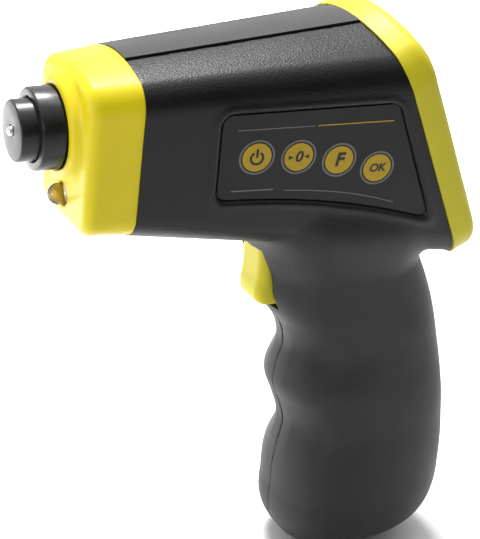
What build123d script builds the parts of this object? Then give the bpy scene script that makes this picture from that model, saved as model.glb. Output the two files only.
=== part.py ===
from build123d import *
from math import cos, hypot, radians, sin, sqrt
import os

# Pistol-grip coating thickness gauge, in millimetres.
# The probe points along -X, +Z is up, and the keypad is on the -Y side.  The origin is on
# the probe axis, at the front face of the probe collar.

# ---------------------------------------------------------------- driving dimensions
WALL = 2.2                 # moulded wall thickness
GAP = 0.3                  # clearance between neighbouring pieces
SPLIT = 0.02               # how far each half stands off the parting plane
CROWN = 40.0               # radius of the crowned top of the head
SHOULDER = 5.0             # radius of the head's upper long edges
CHINE = 6.0                # radius of the head's lower long edges

# The head's two flat sides: half width = SIDE + TAPER * (x - SIDE_X) + DRAFT * z.
SIDE = 20.3
SIDE_X = 56.0
TAPER = 0.085
DRAFT = 0.115

# The planes that end the shells: x = plane x + lean * z.
NOSE_X, NOSE_LEAN = 20.0, 0.0
REAR_X, REAR_LEAN = 87.6, -0.456
TOP_FRONT, TOP_REAR = 16.3, 21.5           # the crown's ridge at either end
BOTTOM_FRONT, BOTTOM_REAR = -24.5, -37.4   # the underside at either end

FACE_X = 8.0               # front face of the nose cap
FACE_HIGH, FACE_LOW = 15.4, 14.7           # its half widths above and below
FACE_TOP, FACE_BOTTOM = 12.8, -22.4
FACE_CORNER = 4.6
NOSE_STEP = 0.9            # how far the shell stands proud of the nose cap
NOSE_WALL = 2.4
RING_R = 12.4              # raised ring round the probe
RING_X = 5.6
SPIGOT_WALL, SPIGOT_LENGTH = 1.4, 3.0

BEZEL_T = 7.5              # thickness of the rear bezel, square to its face
BEZEL_PROUD = 0.4
BEZEL_EDGE = 3.0
WINDOW_V = 1.0             # centre of the display, up the rear plane
WINDOW_SIZE = (31.0, 25.0)
BOARD_HOLES = ((-14, 11), (14, 11), (-14, -20), (14, -20))

SPINE_PROUD = 0.4          # how far the top strip stands above the shells
GROOVE_FRONT, GROOVE_REAR = 5.2, 6.9       # the strip's half width at either end
GROOVE_W = 0.7
SPINE_FLOOR = 5.0          # lowest height that the strip's cuts reach

# The grip, as level slices: height, front, back, half width.
GRIP_SLICES = (
    (-22.0, 53.0, 97.0, 14.5),
    (-29.0, 53.5, 99.0, 16.8),
    (-36.0, 56.5, 101.2, 17.6),
    (-41.0, 58.6, 102.8, 17.5),
    (-46.5, 59.6, 105.4, 17.2),
    (-52.0, 62.3, 107.6, 17.1),
    (-58.0, 66.8, 109.4, 17.2),
    (-63.5, 68.3, 110.8, 17.2),
    (-69.0, 67.0, 112.2, 17.6),
    (-75.0, 66.3, 113.5, 18.1),
    (-81.0, 68.5, 114.6, 18.1),
    (-87.0, 70.2, 115.2, 18.2),
    (-93.5, 69.0, 115.7, 18.8),
    (-100.0, 68.1, 115.8, 19.2),
    (-107.0, 68.0, 115.5, 19.2),
    (-113.0, 67.8, 114.4, 18.6),
    (-118.0, 71.0, 112.0, 16.8),
    (-121.5, 76.5, 108.6, 13.8),
    (-124.2, 83.5, 103.0, 8.5),
)
GRIP_SQUARENESS = 2.4      # exponent of the slices' outline: 2 is an ellipse
SLICE_POINTS = 16

PLUNGER_R, PLUNGER_TIP = 7.0, -4.04
PLUNGER_FLANGE = 8.1
COLLAR_R, COLLAR_BORE = 9.4, 7.3
COLLAR_STEP = 5.2          # length of the collar's full-size wall
COLLAR_NECK = 8.9          # radius behind it, inside the nose
COLLAR_BACK = 27.0
COLLAR_COUNTERBORE = 8.2
CORE_R = 1.45
BALL_R = 1.2
LAMP_X, LAMP_Z, LAMP_R = 7.0, -16.1, 2.5

KEY_R, KEY_FLANGE = 3.5, 4.25
KEY_PLACES = {"key_power": (-8.9, -4.9), "key_zero": (1.4, -5.6),
              "key_function": (11.7, -7.2), "key_ok": (21.8, -10.1)}
KEY_WINDOW = (6.7, -7.6, 41.0, 14.6)       # centre and size of the opening behind the keys
BOARD_DEPTH = 3.8          # of the keypad board's middle, below the film's seat
FILM_T = 0.5
RECESS = 0.9
PANEL_CORNERS = ((-17.9, 5.8), (24.8, 6.0), (37.6, -24.8), (-17.5, -15.2))
PANEL_SAG = (10.0, -17.7)  # a point on the arched lower edge

TRIGGER_HALF = 5.8
TRIGGER_PIN = (65.5, -32.0)
TRIGGER_PIN_R = 1.25
SLOT_TOP, SLOT_BOTTOM = -34.6, -52.6

DOOR_X = (78.0, 107.0)
DOOR_Z = (-114.0, -64.0)

BATTERY = (26.5, 17.5, 48.5)
BATTERY_CENTRE = (92.0, 0.0, -92.0)
SNAP_SPAN = 6.3            # from the battery's middle to each terminal

BOSS_R = 3.2
BOSSES = ((33.0, -20.0), (58.0, 11.5), (99.5, -50.5), (74.8, -110.5))
SCREW_R, SCREW_HEAD_R, SCREW_HEAD_T = 1.45, 2.7, 1.8
SCREW_SEAT = 8.0           # how far the screws' seats stand from the parting plane
PILOT_DEPTH = 7.0


# ---------------------------------------------------------------- shared shapes
def half_width(x, z):
    """Half the head's width at a point of its flat sides."""
    return SIDE + TAPER * (x - SIDE_X) + DRAFT * z


def leaning_plane(x, lean):
    """The plane x = x + lean * z, with its own X along the row's Y and its own Y upward."""
    return Plane(origin=(x, 0, 0), x_dir=(0, 1, 0), z_dir=(1, 0, -lean))


def crown_drop(half):
    """How far the crown falls from its ridge to a half width."""
    return CROWN - sqrt(CROWN * CROWN - half * half)


def head_outline(x, lean, top, bottom, inset):
    """The head's cross-section on a leaning plane."""
    stretch = hypot(1.0, lean)
    upper = top - crown_drop(half_width(x, top)) - inset
    lower = bottom + inset
    half_up = half_width(x + lean * upper, upper) - inset
    half_low = half_width(x + lean * lower, lower) - inset
    sketch = crowned_trapezium(half_up, half_low, upper * stretch, lower * stretch,
                               (top - inset) * stretch, max(SHOULDER - inset, 1.0),
                               max(CHINE - inset, 1.0))
    return leaning_plane(x, lean) * sketch


def crowned_trapezium(half_up, half_low, upper, lower, crest, shoulder, chine):
    """A trapezium whose upper side bulges to the crest, with rounded corners."""
    edges = [ThreePointArc((half_up, upper), (0, crest), (-half_up, upper)),
             Line((-half_up, upper), (-half_low, lower)),
             Line((-half_low, lower), (half_low, lower)),
             Line((half_low, lower), (half_up, upper))]
    face = make_face(edges)
    face = fillet(face.vertices().sort_by(Axis.Y)[2:], shoulder)
    return fillet(face.vertices().sort_by(Axis.Y)[:2], chine)


def head_body(inset):
    """The head between the nose and rear planes, its surface set in by an inset."""
    front = head_outline(NOSE_X, NOSE_LEAN, TOP_FRONT, BOTTOM_FRONT, inset)
    rear = head_outline(REAR_X, REAR_LEAN, TOP_REAR, BOTTOM_REAR, inset)
    return loft([front, rear], ruled=True)


def grip_slice(height, front, back, half, inset):
    """One level slice of the grip: a squarish oval."""
    centre = (front + back) / 2
    reach = (back - front) / 2 - inset
    side = half - inset
    power = 2 / GRIP_SQUARENESS
    points = []
    for step in range(SLICE_POINTS):
        angle = radians(360 / SLICE_POINTS * step)
        c, s = cos(angle), sin(angle)
        points.append((centre + reach * abs(c) ** power * (1 if c > 0 else -1),
                       side * abs(s) ** power * (1 if s > 0 else -1), height))
    return make_face(Spline(*points, periodic=True))


def grip_body(inset):
    """The grip, its surface set in by an inset."""
    lowest = -124.5 + inset * 2.2
    slices = [row for row in GRIP_SLICES if row[0] >= lowest]
    return loft([grip_slice(*row, inset) for row in slices])


def block(x0, x1, y0, y1, z0, z1):
    """A box from its six bounds."""
    return Pos((x0 + x1) / 2, (y0 + y1) / 2, (z0 + z1) / 2) * Box(x1 - x0, y1 - y0, z1 - z0)


def rod_x(radius, x0, x1, y=0.0, z=0.0):
    """A round bar along X."""
    return Pos((x0 + x1) / 2, y, z) * Rot(0, 90, 0) * Cylinder(radius, x1 - x0)


def rod_y(radius, y0, y1, x, z):
    """A round bar along Y."""
    return Pos(x, (y0 + y1) / 2, z) * Rot(90, 0, 0) * Cylinder(radius, y1 - y0)


def wire_tube(points, radius, bend):
    """A round lead along straight runs with rounded corners."""
    path = FilletPolyline(*points, radius=bend)
    profile = Plane(origin=path @ 0, z_dir=path % 0) * Circle(radius)
    return sweep(profile, path=path)


def coil_spring(radius, wire, length, turns):
    """A helical compression spring along +Z from the origin."""
    path = Helix(pitch=length / turns, height=length, radius=radius)
    profile = Plane(origin=path @ 0, z_dir=path % 0) * Circle(wire)
    return sweep(profile, path=path)


# ---------------------------------------------------------------- side panel
def panel_plane(side):
    """The plane of a side panel's film, with X along the head and Z outward."""
    along = Vector(1, side * TAPER, 0).normalized()
    normal = Vector(-TAPER, side, -DRAFT).normalized()
    return Plane(origin=(SIDE_X, side * (SIDE - RECESS), 0), x_dir=along, z_dir=normal)


def panel_outline(side, grow):
    """The side panel's outline: straight front, top and rear, and an arched lower edge."""
    high_front, high_rear, low_rear, low_front = PANEL_CORNERS
    edges = [Line(high_front, high_rear),
             Line(high_rear, low_rear),
             ThreePointArc(low_rear, PANEL_SAG, low_front),
             Line(low_front, high_front)]
    face = make_face(edges)
    face = fillet(face.vertices(), 2.4)
    face = offset(face, grow) if grow else face
    return face if side < 0 else mirror(face, Plane.XZ)


def panel_prism(side, grow, bottom, top):
    """The panel's outline as a plate between two heights over the film's seat."""
    plate = extrude(panel_outline(side, grow), top - bottom)
    return panel_plane(side) * Pos(0, 0, bottom) * plate


# ---------------------------------------------------------------- shells
def outer_body():
    """The housing's outer form, head and grip together."""
    return head_body(0) + grip_body(0)


def inner_body():
    """The hollow inside the housing."""
    return head_body(WALL) + grip_body(WALL)


def spine_wedge(grow):
    """The region between the two top grooves, widening towards the rear."""
    front = GROOVE_FRONT + grow
    rear = GROOVE_REAR + grow
    corners = [(15.0, -front), (95.0, -rear), (95.0, rear), (15.0, front)]
    outline = make_face(Polyline(*corners, close=True))
    return Pos(0, 0, SPINE_FLOOR) * extrude(outline, 40.0)


def top_spine():
    """The strip along the crown, with a flange that lies under the shells' edges."""
    strip = (head_body(-SPINE_PROUD) - head_body(WALL)) & spine_wedge(0)
    web = (head_body(WALL - 0.1) - head_body(WALL + 1.0)) & spine_wedge(0)
    flange = (head_body(WALL + 0.05) - head_body(WALL + 1.0)) & spine_wedge(2.2)
    return strip + ((web + flange) & block(26, 70, -20, 20, SPINE_FLOOR, 40))


def trigger_slot():
    """The opening in the front of the grip for the trigger."""
    return block(40, 66, -TRIGGER_HALF - 0.5, TRIGGER_HALF + 0.5, SLOT_BOTTOM, SLOT_TOP)


def boss(x, z, side, outer):
    """A screw boss from the parting plane to the wall of one shell."""
    return rod_y(BOSS_R, *sorted((side * SPLIT, side * 30)), x, z) & outer


def door_prism(grow):
    """The battery door's region: a rounded rectangle driven through the right wall."""
    width = DOOR_X[1] - DOOR_X[0] + 2 * grow
    height = DOOR_Z[1] - DOOR_Z[0] + 2 * grow
    centre_x = (DOOR_X[0] + DOOR_X[1]) / 2
    centre_z = (DOOR_Z[0] + DOOR_Z[1]) / 2
    face = Plane(origin=(centre_x, 9.5, centre_z), x_dir=(1, 0, 0), z_dir=(0, 1, 0)) \
        * RectangleRounded(width, height, 3)
    return extrude(face, 20)


def shell(side, outer, inner):
    """One half of the housing, without the features that only one half has."""
    keep = block(0, 130, *sorted((side * SPLIT, side * 40)), -140, 40)
    body = (outer - inner) & keep
    body -= spine_wedge(GROOVE_W)
    body -= trigger_slot()
    body -= panel_prism(side, 0.35, 0, 12)
    for x, z in BOSSES:
        body += boss(x, z, side, outer)
    return body


def left_shell(outer, inner):
    """The keypad side: a window behind the keypad, and blind holes for the screws."""
    body = shell(-1, outer, inner)
    u, v, width, height = KEY_WINDOW
    body -= panel_plane(-1) * Pos(u, v, -5) * Box(width, height, 10)
    deep = BOARD_DEPTH - 0.5
    for along in (-1, 1):
        post = Box(1.6, 8, deep - 1.1)
        body += panel_plane(-1) * Pos(u + along * 21.6, v, -(deep + 1.1) / 2) * post
    for x, z in BOSSES:
        body -= rod_y(SCREW_R, -PILOT_DEPTH, 0, x, z)
    body -= rod_y(TRIGGER_PIN_R, -12, 0, *TRIGGER_PIN)
    return body


def right_shell(outer, inner):
    """The plain side: counterbored screw holes and the battery door's opening."""
    body = shell(1, outer, inner)
    for x, z in BOSSES:
        body -= rod_y(SCREW_R + 0.15, 0, 30, x, z)
        body -= rod_y(SCREW_HEAD_R + GAP, SCREW_SEAT, 40, x, z)
    return body - door_prism(GAP)


# ---------------------------------------------------------------- battery door
def battery_door(outer, inner):
    """The pull-off cover: a patch of the grip's wall, with a rib inside that steadies it."""
    patch = (outer - inner) & door_prism(0)
    rib = block(DOOR_X[0] + 4, DOOR_X[1] - 4, 10.5, 17.5, DOOR_Z[1] - 5, DOOR_Z[1] - 3.4) & outer
    return patch + rib


# ---------------------------------------------------------------- nose and bezel
def face_outline(x, grow):
    """The nose cap's section at its front face."""
    sketch = crowned_trapezium(FACE_HIGH + grow, FACE_LOW + grow, FACE_TOP + grow,
                               FACE_BOTTOM - grow, FACE_TOP + 1.4 + grow,
                               FACE_CORNER + grow, FACE_CORNER + grow)
    return leaning_plane(x, 0) * sketch


def nose_cap():
    """The yellow cap: a tapering shell with a raised ring round the probe's bore."""
    back = head_outline(NOSE_X, NOSE_LEAN, TOP_FRONT, BOTTOM_FRONT, NOSE_STEP)
    front = face_outline(FACE_X, 0)
    body = loft([front, back], ruled=True)
    front_edges = body.faces().sort_by(Axis.X)[0].edges()
    body = fillet(front_edges, 2.2)
    hollow_front = face_outline(FACE_X + NOSE_WALL, -NOSE_WALL)
    hollow_back = head_outline(NOSE_X, NOSE_LEAN, TOP_FRONT, BOTTOM_FRONT,
                               NOSE_STEP + NOSE_WALL)
    body -= loft([hollow_front, hollow_back], ruled=True)
    ring = rod_x(RING_R, RING_X, FACE_X + 2)
    ring = fillet(ring.edges().sort_by(Axis.X)[0], 2.0)
    body += ring
    body += nose_spigot()
    body -= rod_x(COLLAR_R + 0.1, 0, FACE_X + NOSE_WALL + 1)
    body -= rod_x(LAMP_R + 0.45, 0, 14, 0, LAMP_Z)
    return body


def spigot_ring():
    """A thin sleeve just inside the shells' walls, along the whole head."""
    return head_body(WALL + GAP) - head_body(WALL + GAP + SPIGOT_WALL)


def nose_spigot():
    """The rim that plugs the nose cap into the shells."""
    return spigot_ring() & block(NOSE_X, NOSE_X + SPIGOT_LENGTH, -30, 30, -40, 40)


def rear_frame(along):
    """A plane parallel to the rear plane, a distance behind it."""
    return leaning_plane(REAR_X, REAR_LEAN).offset(along)


def rear_outline(inset, along):
    """The head's rear section, moved square to the rear plane."""
    flat = head_outline(REAR_X, REAR_LEAN, TOP_REAR, BOTTOM_REAR, inset)
    normal = leaning_plane(REAR_X, REAR_LEAN).z_dir
    return flat.moved(Location(normal * along))


def rear_bezel():
    """The rear frame that holds the display window."""
    body = extrude(rear_outline(-BEZEL_PROUD, 0), BEZEL_T)
    back = body.faces().sort_by(Axis((0, 0, 0), rear_frame(0).z_dir))[-1]
    body = fillet(back.edges(), BEZEL_EDGE)
    body -= extrude(rear_outline(WALL + GAP + SPIGOT_WALL, -1), BEZEL_T - 0.9)
    opening = rear_frame(0) * Pos(0, WINDOW_V) * RectangleRounded(*WINDOW_SIZE, 2.5)
    body -= extrude(opening, BEZEL_T + 2)
    seat = rear_frame(BEZEL_T - 1.1) * Pos(0, WINDOW_V) \
        * RectangleRounded(WINDOW_SIZE[0] + 4, WINDOW_SIZE[1] + 4, 4)
    body -= extrude(seat, 3)
    reach = display_slab(60, 100, -SPIGOT_LENGTH, SPIGOT_LENGTH + SPLIT, 0)
    return body + (spigot_ring() & reach)


def display_slab(width, height, start, thickness, middle):
    """A plain plate parallel to the rear plane."""
    return extrude(rear_frame(start) * Pos(0, middle) * Rectangle(width, height), thickness)


def display_window():
    """The clear window in the bezel's seat."""
    face = rear_frame(BEZEL_T - 1.08) * Pos(0, WINDOW_V) \
        * RectangleRounded(WINDOW_SIZE[0] + 3.6, WINDOW_SIZE[1] + 3.6, 3.8)
    return extrude(face, 1.0)


def display_glass():
    """The display itself, close behind the window."""
    face = rear_frame(3.4) * Pos(0, WINDOW_V) * RectangleRounded(31.6, 25.4, 1.8)
    return extrude(face, 2.0)


def main_board():
    """The circuit board behind the display."""
    board = display_slab(32, 36, 0.4, 1.6, -5.0)
    for u, v in BOARD_HOLES:
        board -= rear_frame(1) * Pos(u, v) * Cylinder(1.1, 8)
    return board


def board_screws():
    """Four small screws that hold the board to the backlight frame."""
    group = []
    for u, v in BOARD_HOLES:
        head = rear_frame(-0.32) * Pos(u, v) * Cylinder(2.0, 1.4)
        shank = rear_frame(1.6) * Pos(u, v) * Cylinder(1.05, 2.6)
        group.append(head + shank)
    return Compound(children=group)


def backlight_frame():
    """The moulded frame between the board and the display glass."""
    body = display_slab(31, 35, 2.02, 1.3, -5.0)
    for u, v in BOARD_HOLES:
        body -= rear_frame(2) * Pos(u, v) * Cylinder(1.05, 4.2)
    return body


# ---------------------------------------------------------------- keypad
def keypad_overlay():
    """The film over the keypad, pierced for the key caps."""
    film = panel_prism(-1, 0, SPLIT, FILM_T)
    for u, v in KEY_PLACES.values():
        film -= panel_plane(-1) * Pos(u, v, 0) * Cylinder(KEY_R + 0.12, 4)
    return film


def key(u, v):
    """A key cap with the flange that keeps it under the film, and a stem."""
    cap = Pos(u, v, 0.1) * Cylinder(KEY_R, 1.0)
    flange = Pos(u, v, -0.6) * Cylinder(KEY_FLANGE, 0.6)
    stem = Pos(u, v, -1.6) * Cylinder(1.4, 1.6)
    return panel_plane(-1) * (cap + flange + stem)


def keypad_board():
    """The small board behind the keys."""
    u, v, width, _ = KEY_WINDOW
    return panel_plane(-1) * Pos(u, v, -BOARD_DEPTH) * Box(width + 4.8, 14.0, 1.0)


def snap_domes():
    """Four low metal domes on the keypad board."""
    group = []
    for u, v in KEY_PLACES.values():
        group.append(panel_plane(-1) * Pos(u, v, 0.72 - BOARD_DEPTH) * Cone(3.0, 1.6, 0.4))
    return Compound(children=group)


# ---------------------------------------------------------------- trigger
def trigger():
    """The trigger: a finger-shaped front, and an arm up to its pin."""
    x, z = TRIGGER_PIN
    front = Spline((57.9, -35.4), (58.9, -41.2), (57.0, -46.2), (58.7, -49.8), (61.6, -51.8))
    edges = [front,
             Line((61.6, -51.8), (64.4, -52.0)),
             Line((64.4, -52.0), (66.4, -38.0)),
             Line((66.4, -38.0), (x + 3.0, z)),
             ThreePointArc((x + 3.0, z), (x, z + 3.0), (x - 3.0, z)),
             Line((x - 3.0, z), (x - 3.0, -35.4)),
             Line((x - 3.0, -35.4), (57.9, -35.4))]
    profile = make_face([Plane.XZ * edge for edge in edges])
    body = extrude(profile, TRIGGER_HALF, both=True)
    front_edges = [edge for edge in body.edges() if edge.center().X < 60.5 and edge.length > 12]
    body = fillet(front_edges, 2.6)
    return body - rod_y(TRIGGER_PIN_R + 0.05, -10, 10, x, z)


def trigger_pin():
    """The pin that the trigger turns on."""
    return rod_y(TRIGGER_PIN_R, -11.5, 11.5, *TRIGGER_PIN)


def pin_bosses(side, inner):
    """A short boss on one shell that holds the trigger pin."""
    tube = rod_y(3.0, *sorted((side * (TRIGGER_HALF + 0.4), side * 22)), *TRIGGER_PIN)
    return (tube & inner) - rod_y(TRIGGER_PIN_R, -11.6, 11.6, *TRIGGER_PIN)


def trigger_switch():
    """The small switch behind the trigger, with its button."""
    body = block(70.5, 76.5, -3.2, 3.2, -49.5, -39.5)
    return body + rod_x(1.0, 67.6, 70.6, 0, -47.0)


def trigger_spring():
    """The spring that returns the trigger."""
    return Pos(66.6, 0, -42.0) * Rot(0, 90, 0) * coil_spring(1.7, 0.25, 3.5, 5)


# ---------------------------------------------------------------- probe
def probe_collar():
    """The fixed sleeve that carries the plunger."""
    flange = FACE_X + NOSE_WALL + 0.6
    body = rod_x(COLLAR_R, 0, COLLAR_STEP) + rod_x(COLLAR_NECK, 0, COLLAR_BACK)
    body += rod_x(11.4, flange, flange + 1.8)
    body -= rod_x(COLLAR_BORE, -1, 8)
    return body - rod_x(COLLAR_COUNTERBORE, 7.9, COLLAR_BACK + 1)


def probe_plunger():
    """The moving sleeve, flanged so that the collar keeps it in."""
    body = rod_x(PLUNGER_R, PLUNGER_TIP, 20)
    body = chamfer(body.edges().sort_by(Axis.X)[0], 0.4)
    body += rod_x(PLUNGER_FLANGE, 8.3, 10.3)
    body -= rod_x(5.4, PLUNGER_TIP + 2.5, 21)
    body -= rod_x(1.5, PLUNGER_TIP - 1, 0)
    return body


def probe_core():
    """The iron core, with a socket for the contact ball."""
    return rod_x(CORE_R, PLUNGER_TIP + 0.2, 14.5) - rod_x(BALL_R, PLUNGER_TIP, PLUNGER_TIP + 1.3)


def contact_ball():
    """The hard steel ball that touches the paint."""
    return Pos(PLUNGER_TIP + 0.1, 0, 0) * Sphere(BALL_R)


def probe_coil():
    """The wound bobbin round the core."""
    return rod_x(4.8, 0, 14) - rod_x(1.5, -1, 15)


def probe_spring():
    """The spring behind the plunger's flange."""
    return Pos(10.6, 0, 0) * Rot(0, 90, 0) * coil_spring(7.6, 0.26, 13.6, 6)


def probe_clip():
    """The ring pressed into the collar's rear end."""
    return rod_x(COLLAR_COUNTERBORE, 24.6, 26.4) - rod_x(4.0, 24, 27)


def probe_lead():
    """The lead from the coil to the main board."""
    return wire_tube([(17.4, 2.2, 0), (40, 2.2, 0), (56, 2.2, 2), (85.4, 2.2, 4)], 0.7, 4)


def lamp():
    """The 5 mm lamp: dome, flange and body."""
    dome = Pos(LAMP_X, 0, LAMP_Z) * Sphere(LAMP_R)
    body = rod_x(LAMP_R, LAMP_X, LAMP_X + 6.0, 0, LAMP_Z)
    flange = rod_x(LAMP_R + 0.4, LAMP_X + 4.9, LAMP_X + 6.0, 0, LAMP_Z)
    return dome + body + flange


def lamp_lead():
    """The lamp's lead to the main board."""
    points = [(LAMP_X + 6.2, 0, LAMP_Z), (22, 0, LAMP_Z), (34, -3, -12), (60, -3, -14),
              (91, -3, -11)]
    return wire_tube(points, 0.6, 4)


# ---------------------------------------------------------------- battery
def battery():
    """The 9 V battery, with rounded upright edges and two snaps on top."""
    width, depth, height = BATTERY
    body = Box(width, depth, height)
    body = fillet(body.edges().filter_by(Axis.Z), 2.5)
    body += Pos(-SNAP_SPAN, 0, height / 2 + 1.0) * Cylinder(2.9, 2.0)
    body += Pos(SNAP_SPAN, 0, height / 2 + 1.0) * Cylinder(3.7, 2.0)
    return Pos(*BATTERY_CENTRE) * body


def battery_snap():
    """The snap connector over the battery's terminals."""
    top = BATTERY_CENTRE[2] + BATTERY[2] / 2
    middle = BATTERY_CENTRE[0]
    body = Pos(middle, 0, top + 2.2) * Box(24, 12, 4.0)
    body -= Pos(middle - SNAP_SPAN, 0, top + 1.0) * Cylinder(3.0, 2.2)
    return body - Pos(middle + SNAP_SPAN, 0, top + 1.0) * Cylinder(3.8, 2.2)


def battery_leads():
    """The two leads from the snap to the main board."""
    group = []
    for y in (-3.0, 3.0):
        points = [(88, y, -63.4), (88, y, -50), (85, y, -38), (87, y, -26), (95.5, y, -20)]
        group.append(wire_tube(points, 0.7, 3))
    return Compound(children=group)


def buzzer():
    """The round sounder on the main board."""
    return rear_frame(-2.0) * Pos(0, -4) * Cylinder(5.0, 4.4)


def housing_screws():
    """Four screws from the right side."""
    group = []
    for x, z in BOSSES:
        head = rod_y(SCREW_HEAD_R, SCREW_SEAT, SCREW_SEAT + SCREW_HEAD_T, x, z)
        shank = rod_y(SCREW_R, -PILOT_DEPTH + 0.5, SCREW_SEAT + 0.1, x, z)
        cross = block(x - 1.6, x + 1.6, 9.0, 12, z - 0.35, z + 0.35)
        cross += block(x - 0.35, x + 0.35, 9.0, 12, z - 1.6, z + 1.6)
        group.append(head + shank - cross)
    return Compound(children=group)


# ---------------------------------------------------------------- write the nodes
def build():
    """All the nodes by name."""
    outer = outer_body()
    inner = inner_body()
    nodes = {
        "left_shell": left_shell(outer, inner) + pin_bosses(-1, inner),
        "right_shell": right_shell(outer, inner) + pin_bosses(1, inner),
        "top_spine": top_spine(),
        "nose_cap": nose_cap(),
        "rear_bezel": rear_bezel(),
        "display_window": display_window(),
        "display_glass": display_glass(),
        "backlight_frame": backlight_frame(),
        "main_board": main_board(),
        "board_screws": board_screws(),
        "buzzer": buzzer(),
        "keypad_overlay": keypad_overlay(),
        "side_label": panel_prism(1, 0, SPLIT, FILM_T),
        "keypad_board": keypad_board(),
        "snap_domes": snap_domes(),
        "trigger": trigger(),
        "trigger_pin": trigger_pin(),
        "trigger_switch": trigger_switch(),
        "trigger_spring": trigger_spring(),
        "probe_collar": probe_collar(),
        "probe_plunger": probe_plunger(),
        "probe_core": probe_core(),
        "contact_ball": contact_ball(),
        "probe_coil": probe_coil(),
        "probe_spring": probe_spring(),
        "probe_clip": probe_clip(),
        "probe_lead": probe_lead(),
        "lamp": lamp(),
        "lamp_lead": lamp_lead(),
        "battery_door": battery_door(outer, inner),
        "battery": battery(),
        "battery_snap": battery_snap(),
        "battery_leads": battery_leads(),
        "housing_screws": housing_screws(),
    }
    for name, (u, v) in KEY_PLACES.items():
        nodes[name] = key(u, v)
    return nodes


os.makedirs("parts", exist_ok=True)
for name, shape in build().items():
    export_step(shape, f"parts/{name}.step")
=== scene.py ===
import math

import bmesh
import bpy
import numpy as np
from mathutils import Matrix, Vector


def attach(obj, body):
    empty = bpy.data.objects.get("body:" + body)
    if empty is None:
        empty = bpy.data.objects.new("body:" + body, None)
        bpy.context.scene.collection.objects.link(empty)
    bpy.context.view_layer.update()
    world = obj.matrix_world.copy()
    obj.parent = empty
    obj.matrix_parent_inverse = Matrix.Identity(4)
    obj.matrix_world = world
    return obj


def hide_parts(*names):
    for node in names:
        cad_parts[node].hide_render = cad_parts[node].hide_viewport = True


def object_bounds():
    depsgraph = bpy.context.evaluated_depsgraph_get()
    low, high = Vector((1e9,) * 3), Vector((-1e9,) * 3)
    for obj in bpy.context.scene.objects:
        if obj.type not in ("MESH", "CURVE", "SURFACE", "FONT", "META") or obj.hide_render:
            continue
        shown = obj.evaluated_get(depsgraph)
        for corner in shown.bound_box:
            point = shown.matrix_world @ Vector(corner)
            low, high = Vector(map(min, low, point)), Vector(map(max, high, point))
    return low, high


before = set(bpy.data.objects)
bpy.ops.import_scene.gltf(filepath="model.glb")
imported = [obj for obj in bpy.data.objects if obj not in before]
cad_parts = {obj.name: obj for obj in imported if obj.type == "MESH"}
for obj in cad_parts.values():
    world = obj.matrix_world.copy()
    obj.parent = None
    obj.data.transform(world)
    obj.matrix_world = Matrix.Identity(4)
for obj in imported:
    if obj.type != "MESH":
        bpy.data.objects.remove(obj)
cad_low, cad_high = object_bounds()

# Lengths are millimetres in the row frame. Those of the camera, floor and lights are metres.
MM = 0.001

# ---------------------------------------------------------------- dimensions shared with the CAD
CROWN = 40.0
SHOULDER = 5.0
CHINE = 7.0
SIDE, SIDE_X, TAPER, DRAFT = 20.3, 56.0, 0.085, 0.115
NOSE_X = 20.0
REAR_X, REAR_LEAN = 87.6, -0.456
TOP_FRONT, TOP_SLOPE = 16.3, 0.09
BOTTOM_FRONT, BOTTOM_SLOPE = -24.5, -0.1524
WALL = 2.2
RECESS = 0.9
GROOVE_FRONT, GROOVE_REAR, GROOVE_W = 5.2, 6.9, 0.7
PANEL_CORNERS = ((-17.9, 5.8), (24.8, 6.0), (37.6, -24.8), (-17.5, -15.2))
PANEL_SAG = (10.0, -17.7)
KEY_PLACES = {"key_power": (-8.9, -4.9), "key_zero": (1.4, -5.6),
              "key_function": (11.7, -7.2), "key_ok": (21.8, -10.1)}
LAMP_X, LAMP_Z, LAMP_R = 7.0, -16.1, 2.5
TRIGGER_PIN = (65.5, -32.0)
TRIGGER_HALF = 5.8

# The grip's level slices: height, front, back, half width.
GRIP_SLICES = np.array((
    (-22.0, 53.0, 97.0, 14.5),
    (-29.0, 53.5, 99.0, 16.8),
    (-36.0, 56.5, 101.2, 17.6),
    (-41.0, 58.6, 102.8, 17.5),
    (-46.5, 59.6, 105.4, 17.2),
    (-52.0, 62.3, 107.6, 17.1),
    (-58.0, 66.8, 109.4, 17.2),
    (-63.5, 68.3, 110.8, 17.2),
    (-69.0, 67.0, 112.2, 17.6),
    (-75.0, 66.3, 113.5, 18.1),
    (-81.0, 68.5, 114.6, 18.1),
    (-87.0, 70.2, 115.2, 18.2),
    (-93.5, 69.0, 115.7, 18.8),
    (-100.0, 68.1, 115.8, 19.2),
    (-107.0, 68.0, 115.5, 19.2),
    (-113.0, 67.8, 114.4, 18.6),
    (-118.0, 71.0, 112.0, 16.8),
    (-121.5, 76.5, 108.6, 13.8),
    (-124.2, 83.5, 103.0, 8.5),
))
GRIP_SQUARENESS = 2.4


# ---------------------------------------------------------------- distance fields
def meet(a, b, r):
    """The part inside both fields, its edge rounded to a radius."""
    return np.minimum(np.maximum(a, b), -r) + np.hypot(np.maximum(a + r, 0), np.maximum(b + r, 0))


def join(a, b, r):
    """The part inside either field, with a fillet between them."""
    return -meet(-a, -b, r)


def cut(a, b, r):
    """Field a less field b, the new edge rounded."""
    return meet(a, -b, r)


def half_width(x, z):
    """The head's half width."""
    return SIDE + TAPER * (x - SIDE_X) + DRAFT * z


def head_field(x, y, z, grow=0.0):
    """The head without its ends: two flat sides, a crowned top and a flat bottom."""
    side = (np.abs(y) - half_width(x, z)) * 0.99 - grow
    top = TOP_FRONT + TOP_SLOPE * (x - NOSE_X)
    crown = np.hypot(y, z - top + CROWN) - CROWN - grow
    bottom = (BOTTOM_FRONT + BOTTOM_SLOPE * (x - NOSE_X) - z) * 0.989 - grow
    upper = meet(side, crown, SHOULDER + grow)
    return meet(upper, bottom, CHINE + grow)


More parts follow.
